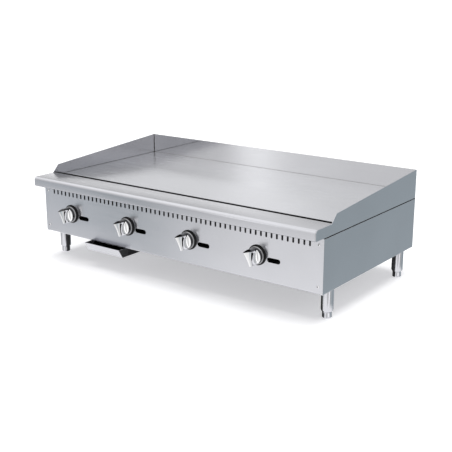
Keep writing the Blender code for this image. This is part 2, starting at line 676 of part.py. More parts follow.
cooking_top()
grease_path()
front_panel()
side_panels()
rear_panel()
bottom_pan()
frame_rails()
front_baffle()
burners()
pilots()
pipework()
valves()
knobs()
grease_drawer()
drawer_rails()
legs()
panel_screws()
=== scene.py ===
"""Looks of a countertop gas griddle: bent sheet metal, knobs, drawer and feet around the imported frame.

Metres, +Z up. The front faces -Y and the user's right hand is at +X.
"""

from math import cos, hypot, pi, radians, sin

import bmesh
import bpy
from mathutils import Matrix, Vector


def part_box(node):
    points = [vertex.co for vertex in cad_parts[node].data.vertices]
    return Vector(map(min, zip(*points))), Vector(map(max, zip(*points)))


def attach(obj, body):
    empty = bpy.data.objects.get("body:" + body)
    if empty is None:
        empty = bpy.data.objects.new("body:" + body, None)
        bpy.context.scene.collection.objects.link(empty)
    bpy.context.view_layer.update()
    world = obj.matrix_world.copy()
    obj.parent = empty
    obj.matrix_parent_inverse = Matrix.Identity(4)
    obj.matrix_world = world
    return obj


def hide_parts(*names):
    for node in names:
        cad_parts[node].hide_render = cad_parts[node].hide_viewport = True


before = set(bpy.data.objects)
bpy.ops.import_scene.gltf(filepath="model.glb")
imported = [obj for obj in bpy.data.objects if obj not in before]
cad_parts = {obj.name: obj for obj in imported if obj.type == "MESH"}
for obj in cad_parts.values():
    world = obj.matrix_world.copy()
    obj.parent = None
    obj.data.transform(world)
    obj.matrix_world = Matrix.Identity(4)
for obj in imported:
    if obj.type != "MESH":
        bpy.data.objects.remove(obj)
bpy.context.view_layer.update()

# Places taken from the frame.
SIDE_LOW, SIDE_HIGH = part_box("splash_side_right")
PLATE_LOW, PLATE_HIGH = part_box("griddle_plate")
REAR_LOW, REAR_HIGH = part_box("splash_rear")
LEDGE_LOW, LEDGE_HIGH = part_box("front_ledge")
TROUGH_LOW, TROUGH_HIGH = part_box("grease_trough")
PANEL_LOW, PANEL_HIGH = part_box("front_panel")
CASE_LOW, CASE_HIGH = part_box("side_panel_right")
BACK_LOW, BACK_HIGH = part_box("rear_panel")
DRAWER_LOW, DRAWER_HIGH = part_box("grease_drawer")

FRONT = SIDE_LOW.y
SEAM = SIDE_LOW.z
HALF = SIDE_HIGH.x
HEAVY_SHEET = SIDE_HIGH.x - SIDE_LOW.x
SHEET = 0.0015               # thickness of the casing and the drawer
GAP = 0.0003                 # between neighbouring pieces
KNOBS = [f"knob_{i}" for i in range(1, 5)]

# Shapes inside those boxes, in metres.
TIP_DEPTH = 0.093            # where a side splash rises, behind the front of the ledge
KNEE_DEPTH = 0.120           # where its slope to the back begins
KNEE_HEIGHT = 0.063          # above the seam
NOSE_RADIUS = 0.012
BEND_RADIUS = 0.0025         # of the casing's sheets
VENT_COUNT = 57
VENT_PITCH = 0.020
VENT_WIDTH = 0.0070
VENT_DROPS = (0.008, 0.033)  # top and bottom of a vent below the seam
LIGHT_SLOT_OFFSET = 0.0627   # lighting slot to the right of its knob
LIGHT_SLOT_DROP = 0.0085     # and below the knob axis
LIGHT_SLOT_SIZE = (0.050, 0.016)
FLUE_COUNT = 11
FLUE_PITCH = 0.100
FLUE_SIZE = (0.070, 0.009)
FLUE_DROPS = (0.030, 0.048)  # the two rows of flue slots below the seam
SEAM_GAP = 0.0032            # dark joint between a casing side and the splash above it
KNOB_TILT = -17              # degrees; the head of the grip leans to the left


# ---------------------------------------------------------------- shape helpers

def placed(name, bm):
    """Put a bmesh into the scene as an object."""
    mesh = bpy.data.meshes.new(name)
    bm.to_mesh(mesh)
    bm.free()
    obj = bpy.data.objects.new(name, mesh)
    bpy.context.collection.objects.link(obj)
    return obj


def piece(name, bm, material, body="root", replaces=(), bevel=0, angle=35):
    """Make a visible piece; edges sharper than the angle, in degrees, get the bevel."""
    bmesh.ops.recalc_face_normals(bm, faces=bm.faces)
    obj = placed(name, bm)
    obj.data.materials.append(material)
    obj.data.shade_smooth()
    obj.data.set_sharp_from_angle(angle=radians(angle))
    if bevel:
        modifier = obj.modifiers.new("edges", "BEVEL")
        modifier.width = bevel
        modifier.segments = 2
        modifier.limit_method = "ANGLE"
        modifier.angle_limit = radians(angle)
        modifier.harden_normals = True
    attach(obj, body)
    if replaces:
        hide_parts(*replaces)
    return obj


def arc(centre, radius, start, end, steps):
    """Points on a circle, from start to end in degrees."""
    angles = [radians(start + (end - start) * i / steps) for i in range(steps + 1)]
    return [(centre[0] + radius * cos(a), centre[1] + radius * sin(a)) for a in angles]


def polygon(middle, radius, sides, start=0):
    """Corners of a regular outline, the first one at start degrees."""
    return arc(middle, radius, start, start + 360 - 360 / sides, sides - 1)


def rounded(points, radii, closed=False, steps=5):
    """The path with a rounded corner of the given radius at each of its points; 0 keeps a point."""
    result = []
    count = len(points)
    for i, (point, radius) in enumerate(zip(points, radii)):
        if radius == 0 or (not closed and i in (0, count - 1)):
            result.append(tuple(point))
            continue
        here = Vector(point)
        before = (Vector(points[i - 1]) - here).normalized()
        after = (Vector(points[(i + 1) % count]) - here).normalized()
        half_angle = before.angle(after) / 2
        reach = radius / max(1e-6, abs(sin(half_angle) / cos(half_angle)))
        start, end = here + before * reach, here + after * reach
        middle = here + (before + after).normalized() * (radius / sin(half_angle))
        spread = (start - middle).angle(end - middle)
        for step in range(steps + 1):
            t = step / steps
            a = sin((1 - t) * spread) / sin(spread)
            b = sin(t * spread) / sin(spread)
            result.append(tuple(middle + (start - middle) * a + (end - middle) * b))
    return result


def bent(path, thickness):
    """Closed outline of a sheet whose outer face follows path; the sheet lies to the path's left."""
    points = [Vector(p) for p in path]
    steps = [(b - a).normalized() for a, b in zip(points, points[1:])]
    normals = [Vector((-s.y, s.x)) for s in steps]
    inner = []
    for i, point in enumerate(points):
        first = normals[max(i - 1, 0)]
        second = normals[min(i, len(normals) - 1)]
        inner.append(point + (first + second) * thickness / (1 + first.dot(second)))
    return [tuple(p) for p in points] + [tuple(p) for p in reversed(inner)]


def prism(outline, start, end, axis):
    """Extrude a flat outline along X, Y or Z; the outline holds the other two coordinates in order."""
    spots = {
        "X": lambda u, v, s: (s, u, v),
        "Y": lambda u, v, s: (u, s, v),
        "Z": lambda u, v, s: (u, v, s),
    }
    spot = spots[axis]
    bm = bmesh.new()
    bm.faces.new([bm.verts.new(spot(u, v, start)) for u, v in outline])
    moved = bmesh.ops.extrude_face_region(bm, geom=bm.faces[:])["geom"]
    corners = [part for part in moved if isinstance(part, bmesh.types.BMVert)]
    bmesh.ops.translate(bm, vec=Vector(spot(0, 0, end - start)), verts=corners)
    return bm


def box(low, high):
    """Box between two corners."""
    bm = bmesh.new()
    bmesh.ops.create_cube(bm, size=1)
    size = Vector(high) - Vector(low)
    middle = (Vector(high) + Vector(low)) / 2
    stretch = Matrix.Translation(middle) @ Matrix.Diagonal((*size, 1))
    bmesh.ops.transform(bm, matrix=stretch, verts=bm.verts)
    return bm


def lathe(profile, segments, axis="Z", at=(0, 0, 0)):
    """Turn (radius, height) points about an axis through a point; a radius of 0 closes on the axis."""
    bm = bmesh.new()
    rings = []
    for radius, height in profile:
        count = segments if radius > 0 else 1
        angles = [2 * pi * i / segments for i in range(count)]
        rings.append([bm.verts.new((radius * cos(a), radius * sin(a), height)) for a in angles])
    pairs = list(zip(rings, rings[1:]))
    if profile[0][0] > 0:
        pairs.append((rings[-1], rings[0]))
    for low, high in pairs:
        for i in range(segments):
            j = (i + 1) % segments
            corners = [low[i % len(low)], low[j % len(low)], high[j % len(high)], high[i % len(high)]]
            unique = list(dict.fromkeys(corners))
            if len(unique) > 2:
                bm.faces.new(unique)
    if axis == "Y":
        bmesh.ops.rotate(bm, matrix=Matrix.Rotation(-pi / 2, 3, "X"), verts=bm.verts)
    bmesh.ops.translate(bm, vec=at, verts=bm.verts)
    return bm


def merged(parts):
    """Several meshes in one bmesh."""
    whole = bmesh.new()
    for part in parts:
        mesh = bpy.data.meshes.new("part")
        bmesh.ops.recalc_face_normals(part, faces=part.faces)
        part.to_mesh(mesh)
        part.free()
        whole.from_mesh(mesh)
        bpy.data.meshes.remove(mesh)
    return whole


def combined(bm, other, operation="DIFFERENCE"):
    """The bmesh with the other one cut from it or joined to it."""
    objects = []
    for part in (bm, other):
        bmesh.ops.recalc_face_normals(part, faces=part.faces)
        objects.append(placed("working", part))
    modifier = objects[0].modifiers.new("combine", "BOOLEAN")
    modifier.operation = operation
    modifier.solver = "EXACT"
    modifier.object = objects[1]
    depsgraph = bpy.context.evaluated_depsgraph_get()
    result = bmesh.new()
    result.from_object(objects[0], depsgraph)
    for obj in objects:
        mesh = obj.data
        bpy.data.objects.remove(obj)
        bpy.data.meshes.remove(mesh)
    return result


def stadium(middle, size, steps=8):
    """Outline of a slot with round ends; size is its length and its width."""
    half = size[1] / 2
    reach = size[0] / 2 - half
    right = arc((middle[0] + reach, middle[1]), half, -90, 90, steps)
    left = arc((middle[0] - reach, middle[1]), half, 90, 270, steps)
    return right + left


# ---------------------------------------------------------------- materials

NOISE_MIDDLE = (0.3, 0.7)    # nearly all of a noise texture lies between these
GRAIN_SCALES = (900, 6)      # of the brushing streaks, across and along the grain
GRAIN_DEPTH = 0.0002


class Nodes:
    """Small helper to build and join the nodes of one material or world."""

    def __init__(self, tree):
        self.tree = tree

    def add(self, kind, **values):
        node = self.tree.nodes.new(kind)
        for name, value in values.items():
            setattr(node, name, value)
        return node

    def join(self, source, target):
        self.tree.links.new(source, target)

    def math(self, operation, first, second=0.0, third=0.0):
        node = self.add("ShaderNodeMath", operation=operation)
        for socket, value in zip(node.inputs, (first, second, third)):
            if isinstance(value, (int, float)):
                socket.default_value = value
            else:
                self.join(value, socket)
        return node.outputs[0]

    def ramp(self, factor, stops):
        """Linear ramp through (position, grey level or colour) stops."""
        node = self.add("ShaderNodeValToRGB")
        elements = node.color_ramp.elements
        while len(elements) < len(stops):
            elements.new(0.5)
        for element, (position, colour) in zip(elements, stops):
            element.position = position
            level = colour if isinstance(colour, tuple) else (colour, colour, colour)
            element.color = (*level, 1)
        self.join(factor, node.inputs["Fac"])
        return node.outputs["Color"]

    def noise(self, scale, detail=2, stretch=(1, 1, 1), roughness=0.5):
        coordinates = self.add("ShaderNodeTexCoord")
        mapping = self.add("ShaderNodeMapping")
        mapping.inputs["Scale"].default_value = stretch
        texture = self.add("ShaderNodeTexNoise")
        texture.inputs["Scale"].default_value = scale
        texture.inputs["Detail"].default_value = detail
        texture.inputs["Roughness"].default_value = roughness
        self.join(coordinates.outputs["Object"], mapping.inputs["Vector"])
        self.join(mapping.outputs["Vector"], texture.inputs["Vector"])
        return texture.outputs["Fac"]

    def spread(self, factor, low, high):
        """Map the middle of a noise to low..high."""
        node = self.add("ShaderNodeMapRange")
        node.inputs["From Min"].default_value = NOISE_MIDDLE[0]
        node.inputs["From Max"].default_value = NOISE_MIDDLE[1]
        node.inputs["To Min"].default_value = low
        node.inputs["To Max"].default_value = high
        self.join(factor, node.inputs["Value"])
        return node.outputs["Result"]


def shade(colour, amount):
    """The colour made darker or lighter."""
    return tuple(min(1, channel * amount) for channel in colour)


def new_material(name, metallic):
    material = bpy.data.materials.new(name)
    material.use_nodes = True
    shader = material.node_tree.nodes["Principled BSDF"]
    shader.inputs["Metallic"].default_value = metallic
    return material, Nodes(material.node_tree), shader


def metal(name, colour, roughness, grain=None, patches=4, variation=0.03, bump=0.05, wander=0.04,
          metallic=1, brushed=0):
    """Metal with cloudy variation of its colour and streaks that run along one axis of the object.

    patches is the scale of the clouds and variation their strength, wander is how far the roughness
    moves in the streaks, bump is their relief and brushed is how much they stretch a reflection.
    """
    material, nodes, shader = new_material(name, metallic)
    cloud = nodes.noise(patches, detail=3)
    levels = (1 - variation, 1 + variation)
    stops = [(at, shade(colour, level)) for at, level in zip(NOISE_MIDDLE, levels)]
    nodes.join(nodes.ramp(cloud, stops), shader.inputs["Base Color"])
    across, along = GRAIN_SCALES
    stretch = [across, across, across]
    if grain is not None:
        stretch["XYZ".index(grain)] = along
    if brushed:
        # The tangent runs across the grain, where a brushed surface is rougher.
        tangent = nodes.add("ShaderNodeTangent", direction_type="RADIAL", axis=grain)
        nodes.join(tangent.outputs["Tangent"], shader.inputs["Tangent"])
        shader.inputs["Anisotropic"].default_value = brushed
    streaks = nodes.noise(1, stretch=stretch, roughness=0.6)
    rough = nodes.spread(streaks, roughness - wander, roughness + wander)
    nodes.join(rough, shader.inputs["Roughness"])
    relief = nodes.add("ShaderNodeBump")
    relief.inputs["Strength"].default_value = bump
    relief.inputs["Distance"].default_value = GRAIN_DEPTH
    nodes.join(streaks, relief.inputs["Height"])
    nodes.join(relief.outputs["Normal"], shader.inputs["Normal"])
    return material


STEEL = (0.694, 0.698, 0.735)
BRUSHED = 0.85

STAINLESS_X = metal("stainless_grain_x", STEEL, 0.20, "X", brushed=BRUSHED)
STAINLESS_Y = metal("stainless_grain_y", STEEL, 0.17, "Y")
STAINLESS_Z = metal("stainless_grain_z", STEEL, 0.15, "Z")
# The ledge's steel is the panel's steel made darker: painted shade on a part of the same stainless.
LEDGE_STEEL_PAINTED_DARKER = metal("stainless_ledge_painted_darker", shade(STEEL, 0.89), 0.20, "X", brushed=BRUSHED)
PLATE = metal("polished_plate", (0.708, 0.715, 0.752), 0.235, "X", patches=2.5, variation=0.04,
              bump=0.04, metallic=0.93)
MIRROR_X = metal("bright_stainless", (0.694, 0.693, 0.697), 0.05, "X", bump=0.02, wander=0.015)
# Near-black steel for the grease trough: painted shade in the deep channel.
TROUGH_PAINTED_SHADE = metal("trough_painted_shade", (0.07, 0.069, 0.067), 0.34, "X", patches=9,
                   variation=0.25, bump=0.1)
# Near-black for the ledge's downward faces: painted shade under the ledge.
SHADED = metal("painted_shade_underside", (0.035, 0.035, 0.036), 0.5, patches=30, variation=0.3,
               bump=0.2)
WELD = metal("weld_bead", (0.06, 0.058, 0.056), 0.50, patches=160, variation=0.3, bump=0.3)
GALVANISED = metal("galvanised_sheet", (0.46, 0.47, 0.49), 0.42, patches=45, variation=0.20,
                   bump=0.1)
IRON = metal("burner_steel", (0.30, 0.29, 0.285), 0.50, patches=14, variation=0.22, bump=0.2)
BRASS = metal("turned_brass", (0.72, 0.54, 0.27), 0.26, "Z", patches=30, variation=0.06)
PIPE = metal("black_iron_pipe", (0.06, 0.06, 0.065), 0.45, patches=60, variation=0.25, bump=0.3,
             metallic=0.4)
CHROME = metal("chrome", (0.93, 0.93, 0.94), 0.07, patches=30, variation=0.01, bump=0.01,
               wander=0.015)
# Dark steel on a knob's side, back and grip end: painted shade and dark reflections on the chrome knob.
KNOB_DARK_REFLECTION = metal("knob_painted_dark_reflection", (0.085, 0.085, 0.09), 0.20, patches=60, variation=0.08)
DIAL = metal("satin_dial", (0.34, 0.34, 0.35), 0.28, patches=60, variation=0.06)
BLACK = metal("black_moulding", (0.008, 0.008, 0.009), 0.40, patches=80, variation=0.2, bump=0.1,
              metallic=0)
BLACK.node_tree.nodes["Principled BSDF"].inputs["Specular IOR Level"].default_value = 0.2


# ---------------------------------------------------------------- lift-off cooking top

def side_outline():
    """Side splash seen from the side: nose, level edge, rise, slope to the back."""
    ledge_top = LEDGE_HIGH.z
    nose = arc((FRONT + NOSE_RADIUS, ledge_top - NOSE_RADIUS), NOSE_RADIUS, 180, 90, 10)
    # The other corners with their radii.
    corners = [
        ((FRONT + TIP_DEPTH, ledge_top), 0.010),
        ((FRONT + KNEE_DEPTH, SEAM + KNEE_HEIGHT), 0.006),
        ((SIDE_HIGH.y, SIDE_HIGH.z), 0.002),
        ((SIDE_HIGH.y, SEAM), 0),
        ((FRONT, SEAM), 0.0045),
    ]
    points, radii = zip(*corners)
    return rounded(nose + list(points), [0] * len(nose) + list(radii), closed=True)


def plate_and_splashes():
    """The cooking surface and the sheets on three sides of it."""
    plate = box(PLATE_LOW, PLATE_HIGH)
    piece("plate", plate, PLATE, replaces=["griddle_plate"], bevel=0.0006)
    for name, side in (("left", -1), ("right", 1)):
        start = side * HALF - (HEAVY_SHEET if side > 0 else 0)
        sheet = prism(side_outline(), start, start + HEAVY_SHEET, "X")
        piece(f"side_splash_{name}", sheet, STAINLESS_Y,
              replaces=[f"splash_side_{name}"], bevel=0.0006)
    rear = box(REAR_LOW, REAR_HIGH)
    piece("rear_splash", rear, MIRROR_X, replaces=["splash_rear"], bevel=0.0008)


def front_ledge():
    """Sheet bent over a round nose, with a lip down into the trough; its underside is painted dark as
    shade.
    """
    lip, flange = 0.022, 0.018
    lip_radius, flange_radius = 0.0015, 0.0042
    back, top = LEDGE_HIGH.y, LEDGE_HIGH.z
    nose = arc((FRONT + NOSE_RADIUS, top - NOSE_RADIUS), NOSE_RADIUS, 90, 180, 12)
    path = [(back, top - lip), (back, top)] + nose + [(FRONT, SEAM), (FRONT + flange, SEAM)]
    path = rounded(path, [0, lip_radius] + [0] * len(nose) + [flange_radius, 0])
    ledge = prism(bent(path, HEAVY_SHEET), LEDGE_LOW.x, LEDGE_HIGH.x, "X")
    ledge = piece("ledge", ledge, LEDGE_STEEL_PAINTED_DARKER, replaces=["front_ledge"], bevel=0.0003)
    # Faces that look down get the painted shade.
    ledge.data.materials.append(SHADED)
    for face in ledge.data.polygons:
        if face.normal.z < -0.5:
            face.material_index = 1


def bead(x, side, y, radius):
    """Corner outline of a convex bead between two faces that meet at (x, y)."""
    bulge = radius * 0.8
    curve = [(x + side * bulge * cos(a), y - bulge * sin(a)) for a in (radians(30), radians(60))]
    return [(x, y), (x + side * radius, y)] + curve + [(x, y - radius)]


def weld_beads():
    """Dark beads along the side splashes and up the rear corners, and a thin grey one at the rear."""
    side_radius, corner_radius, rear_radius = 0.0011, 0.0025, 0.0007
    left, right = PLATE_LOW.x - GAP, PLATE_HIGH.x + GAP
    front, back, top = PLATE_LOW.y, PLATE_HIGH.y + GAP, PLATE_HIGH.z
    dark = []
    for x, side in ((left, 1), (right, -1)):
        # The bead's outline is turned over, because this one lies on the plate.
        section = [(u, top + (top - v)) for u, v in bead(x, side, top, side_radius)]
        dark.append(prism(section, front, back, "Y"))
        corner = bead(x, side, back, corner_radius)
        dark.append(prism(corner, top, REAR_HIGH.z - 0.001, "Z"))
    piece("side_welds", merged(dark), WELD)
    bulge = rear_radius * 0.6
    section = [(back, top), (back, top + rear_radius), (back - bulge, top + bulge),
               (back - rear_radius, top)]
    rear = prism(section, left + corner_radius, right - corner_radius, "X")
    piece("rear_weld", rear, IRON)


def trough():
    """Channel between the ledge and the plate, with a drain hole over the chute."""
    corner_radius = 0.007
    rim_drop = 0.0010            # the rear wall ends this far below the plate's top
    drain_margin = 0.003         # the hole is this much smaller than the chute's outside
    reach = 0.01
    low, high = TROUGH_LOW, TROUGH_HIGH
    path = [(low.y, high.z), (low.y, low.z), (high.y, low.z), (high.y, PLATE_HIGH.z - rim_drop)]
    path = rounded(path, [0, corner_radius, corner_radius, 0])
    channel = prism(bent(path, HEAVY_SHEET), low.x, high.x, "X")
    chute_low, chute_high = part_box("grease_chute")
    middle = (chute_low + chute_high) / 2
    radius = (chute_high.x - chute_low.x) / 2 - drain_margin
    profile = [(0, -reach), (radius, -reach), (radius, reach), (0, reach)]
    drill = lathe(profile, 40, at=(middle.x, middle.y, low.z))
    # The trough is painted near black as the shade in its channel.
    piece("trough", combined(channel, drill), TROUGH_PAINTED_SHADE, replaces=["grease_trough"],
          bevel=0.0003)


# ---------------------------------------------------------------- casing

CUT_REACH = 0.005            # how far a cutter goes to either side of a panel's face
NOTCH_MARGIN = 0.01          # how far a notch goes past the panel it is cut from
PANEL_BEVEL = 0.00035


def end_notches(near, far, low, high):
    """Cutters that keep the flanges of the front or rear panel off the side panels."""
    flange_room = 0.026
    reach = CASE_HIGH.x - flange_room
    outside = HALF + NOTCH_MARGIN
    return merged([box((x0, near, low - NOTCH_MARGIN), (x1, far, high + NOTCH_MARGIN))
                   for x0, x1 in ((-outside, -reach), (reach, outside))])


def knob_axis(name):
    """Where a knob's axis meets the front panel."""
    low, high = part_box(name.replace("knob", "knob_bezel"))
    return Vector(((low.x + high.x) / 2, PANEL_LOW.y, (low.z + high.z) / 2))


def front_panel():
    """Control panel with its vents, lighting slots and holes for the valve stems."""
    bottom_radius, stem_hole = 0.0045, 0.0075
    low, high = PANEL_LOW, PANEL_HIGH
    path = [(high.y, high.z), (low.y, high.z), (low.y, low.z), (high.y, low.z)]
    path = rounded(path, [0, BEND_RADIUS, bottom_radius, 0])
    panel = prism(bent(path, SHEET), low.x, high.x, "X")
    panel = combined(panel, end_notches(low.y + SHEET, high.y + NOTCH_MARGIN, low.z, high.z))
    near, far = low.y - CUT_REACH, low.y + CUT_REACH
    vent_size = (VENT_DROPS[1] - VENT_DROPS[0], VENT_WIDTH)
    vent_middle = SEAM - sum(VENT_DROPS) / 2
    cuts = []
    for i in range(VENT_COUNT):
        x = (i - (VENT_COUNT - 1) / 2) * VENT_PITCH
        # A vent is a slot that stands upright.
        outline = [(x + v, vent_middle + u) for u, v in stadium((0, 0), vent_size, 4)]
        cuts.append(prism(outline, near, far, "Y"))
    for name in KNOBS:
        axis = knob_axis(name)
        middle = (axis.x + LIGHT_SLOT_OFFSET, axis.z - LIGHT_SLOT_DROP)
        cuts.append(prism(stadium(middle, LIGHT_SLOT_SIZE), near, far, "Y"))
        cuts.append(prism(polygon((axis.x, axis.z), stem_hole, 24), near, far, "Y"))
    piece("control_panel", combined(panel, merged(cuts)), STAINLESS_X,
          replaces=["front_panel"], bevel=PANEL_BEVEL)


def side_panels():
    """Casing sides with a flange inwards at the bottom and the top."""
    low, high = CASE_LOW, CASE_HIGH
    bottom_flange, top_flange = 0.012, high.x - low.x
    top_radius = 0.0008
    top = high.z - SEAM_GAP
    for name, side in (("left", -1), ("right", 1)):
        path = [(side * (HALF - bottom_flange), low.z), (side * HALF, low.z),
                (side * HALF, top), (side * (HALF - top_flange), top)]
        path = rounded(path, [0, BEND_RADIUS, top_radius, 0])
        outline = bent(path if side > 0 else path[::-1], SHEET)
        piece(f"casing_side_{name}", prism(outline, low.y, high.y, "Y"), STAINLESS_Y,
              replaces=[f"side_panel_{name}"], bevel=0.0004)


def rear_panel():
    """Casing back with two rows of flue slots and a hole for the gas inlet."""
    inlet_clearance = 0.001
    low, high = BACK_LOW, BACK_HIGH
    path = [(low.y, low.z), (high.y, low.z), (high.y, high.z), (low.y, high.z)]
    path = rounded(path, [0, BEND_RADIUS, BEND_RADIUS, 0])
    panel = prism(bent(path, SHEET), low.x, high.x, "X")
    panel = combined(panel, end_notches(low.y - NOTCH_MARGIN, high.y - SHEET, low.z, high.z))
    near, far = high.y - CUT_REACH, high.y + CUT_REACH
    cuts = []
    for drop in FLUE_DROPS:
        for i in range(FLUE_COUNT):
            x = (i - (FLUE_COUNT - 1) / 2) * FLUE_PITCH
            cuts.append(prism(stadium((x, SEAM - drop), FLUE_SIZE), near, far, "Y"))
    pipe_low, pipe_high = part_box("inlet_pipe")
    middle = (pipe_low + pipe_high) / 2
    radius = (pipe_high.x - pipe_low.x) / 2 + inlet_clearance
    cuts.append(prism(polygon((middle.x, middle.z), radius, 45), near, far, "Y"))
    piece("casing_back", combined(panel, merged(cuts)), STAINLESS_X,
          replaces=["rear_panel"], bevel=PANEL_BEVEL)


# ---------------------------------------------------------------- knobs

# Material slots of a knob, after the chrome: the painted dark reflection and the dial.
DARK_REFLECTION_SLOT, DIAL_SLOT = 1, 2


def grip_half_width(v):
    """Half the width of the grip's face at height v above the knob's axis."""
    at_axis, slope, curve = 0.0094, 0.254, 4.5
    return at_axis + slope * v + curve * v * v


def knob_row(v, radius):
    """Points (u, depth) of the knob's front across height v: a scoop, the grip's face, a scoop.

    Depth is how far a point stands out in front of the knob's back.
    """
    rim, length = 0.0165, 0.0415     # depth at the edge and on the grip
    hollow = 0.0009                  # of the grip's face
    widest = 0.96                    # a grip's share of the row
    shoulder = 0.021                 # above this height the grip falls back
    fall, fall_curve = 1.5, 28
    steps = 9
    edge = (radius * radius - v * v) ** 0.5
    grip = min(grip_half_width(v), widest * edge)
    over = max(0, v - shoulder)
    top = length - fall * over - fall_curve * over * over
    face = [(grip * t, top - hollow * (1 - t * t)) for t in (-0.67, -0.33, 0, 0.33, 0.67)]
    scoop = []
    for step in range(steps + 1):
        angle = pi / 2 * step / steps
        scoop.append((edge - (edge - grip) * cos(angle), rim + (top - rim) * (1 - sin(angle))))
    left = [(-u, depth) for u, depth in reversed(scoop)]
    return left + face + scoop


def knob_bmesh(base_radius):
    """Rows across the head from bottom to top, the dial ring around its foot, and the back.

    The end of the grip, above a set height, is painted dark like the head's side, as a dark reflection.
    """
    dial_width, painted_dark_above = 0.0028, 0.0205
    radius = base_radius - dial_width
    heights = [radius * sin(radians(a)) for a in range(-86, 38, 4)]
    heights += [0.0190, 0.0210, 0.0222]
    heights += [radius * sin(radians(a)) for a in range(57, 88, 5)]
    bm = bmesh.new()
    rows = []
    for v in heights:
        rows.append([bm.verts.new((u, -depth, v)) for u, depth in knob_row(v, radius)])
    for low, high, height in zip(rows, rows[1:], heights[1:]):
        for i in range(len(low) - 1):
            face = bm.faces.new((low[i], low[i + 1], high[i + 1], high[i]))
            face.material_index = DARK_REFLECTION_SLOT if height > painted_dark_above else 0
    right_ends = [row[-1] for row in rows[1:-1]]
    left_ends = [row[0] for row in rows[-2:0:-1]]
    outline = rows[0] + right_ends + rows[-1][::-1] + left_ends
    # From the head down to the back: how wide and deep each ring is, and the faces that lead to it.
    wide = base_radius / radius
    rings = [
        (1.0, 0.0050, DARK_REFLECTION_SLOT),
        (wide, 0.0032, DIAL_SLOT),
        (wide, 0.0010, DIAL_SLOT),
        (0.9, 0.0002, DARK_REFLECTION_SLOT),
    ]
    ring = outline
    for spread, depth, slot in rings:
        step = [bm.verts.new((v.co.x * spread, -depth, v.co.z * spread)) for v in outline]
        for i in range(len(ring)):
            j = (i + 1) % len(ring)
            bm.faces.new((ring[i], ring[j], step[j], step[i])).material_index = slot
        ring = step
    bm.faces.new(ring).material_index = DARK_REFLECTION_SLOT
    return bm


def knobs():
    """Each knob with the bezel behind it."""
    stand_off = 0.0055
    stem_hole, bezel_front = 0.008, -0.0048
    for name in KNOBS:
        axis = knob_axis(name)
        low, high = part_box(name)
        radius = (high.z - low.z) / 2
        bm = knob_bmesh(radius)
        bmesh.ops.rotate(bm, matrix=Matrix.Rotation(radians(KNOB_TILT), 3, "Y"), verts=bm.verts)
        bmesh.ops.translate(bm, vec=axis - Vector((0, stand_off, 0)), verts=bm.verts)
        knob = piece(name.replace("knob", "control_knob"), bm, CHROME, body=name,
                     replaces=[name], bevel=0.0005, angle=40)
        # The knob's side and back take the painted dark reflection.
        knob.data.materials.append(KNOB_DARK_REFLECTION)
        knob.data.materials.append(DIAL)
        bezel_low, bezel_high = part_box(name.replace("knob", "knob_bezel"))
        outer = (bezel_high.z - bezel_low.z) / 2
        profile = [(stem_hole, bezel_front), (outer - 0.0035, bezel_front),
                   (outer - 0.0012, -0.0040), (outer, -0.0022), (outer, -GAP), (stem_hole, -GAP)]
        bezel = lathe(profile, 72, "Y", axis)
        piece(name.replace("knob", "bezel"), bezel, BLACK,
              replaces=[name.replace("knob", "knob_bezel")], angle=60)


# ---------------------------------------------------------------- drawer

def tray(middle, half, outer, inner):
    """Open box of sheet from the side views (y, z) of its outside and inside, each open at the top."""
    bm = bmesh.new()
    rims = []
    for outline, reach in ((outer, half), (inner, half - SHEET)):
        left, right = [[bm.verts.new((middle + side * reach, y, z)) for y, z in outline]
                       for side in (-1, 1)]
        bm.faces.new(left)
        bm.faces.new(right)
        for i in range(3):
            bm.faces.new((left[i], left[i + 1], right[i + 1], right[i]))
        rims.append([left[0], right[0], right[3], left[3]])
    rim_outer, rim_inner = rims
    for i in range(4):
        j = (i + 1) % 4
        bm.faces.new((rim_outer[i], rim_outer[j], rim_inner[j], rim_inner[i]))
    return bm


def drawer():
    """Open tray with a leaning front and side flanges that run in the rails."""
    low, high = DRAWER_LOW, DRAWER_HIGH
    flange, flange_thickness = 0.0105, 0.0013
    overlap = 0.0007             # of a flange and the tray's side
    front_lean = 0.019           # how far the foot of the front stands behind its rim
    front_sheet = 0.0018
    middle = (low.x + high.x) / 2
    half = (high.x - low.x) / 2 - flange
    lean = front_lean / (high.z - low.z)
    floor = low.z + SHEET
    outer = [(low.y, high.z), (low.y + front_lean, low.z), (high.y, low.z), (high.y, high.z)]
    inner_front = low.y + front_sheet
    inner = [(inner_front, high.z), (inner_front + lean * (high.z - floor), floor),
             (high.y - SHEET, floor), (high.y - SHEET, high.z)]
    # The flanges start behind the control panel, just under the rim.
    start, end = PANEL_HIGH.y + 0.002, high.y - 0.001
    top = high.z - 0.0002
    runners = merged([box((middle + x0, start, top - flange_thickness), (middle + x1, end, top))
                      for x0, x1 in ((-half - flange, -half + overlap),
                                     (half - overlap, half + flange))])
    body = combined(tray(middle, half, outer, inner), runners, "UNION")
    piece("drawer", body, STAINLESS_X, body="drawer", replaces=["grease_drawer"],
          bevel=0.0004)


# ---------------------------------------------------------------- stand and fasteners

ROUND = 48                   # sides of a leg or a foot


def leg_profile(radius, low, high, bore_top):
    """Tube with a chamfered bottom, a bore for the foot's stud, and its own stud on top."""
    top = PANEL_LOW.z - GAP
    stud, bore = 0.006, 0.0062
    return [
        (0, bore_top), (bore, bore_top), (bore, low),
        (radius - 0.0035, low), (radius - 0.0022, low + 0.0006), (radius, low + 0.0055),
        (radius, top - 0.0015), (radius - 0.0006, top),
        (stud, top), (stud, high - 0.001), (stud - 0.001, high), (0, high),
    ]


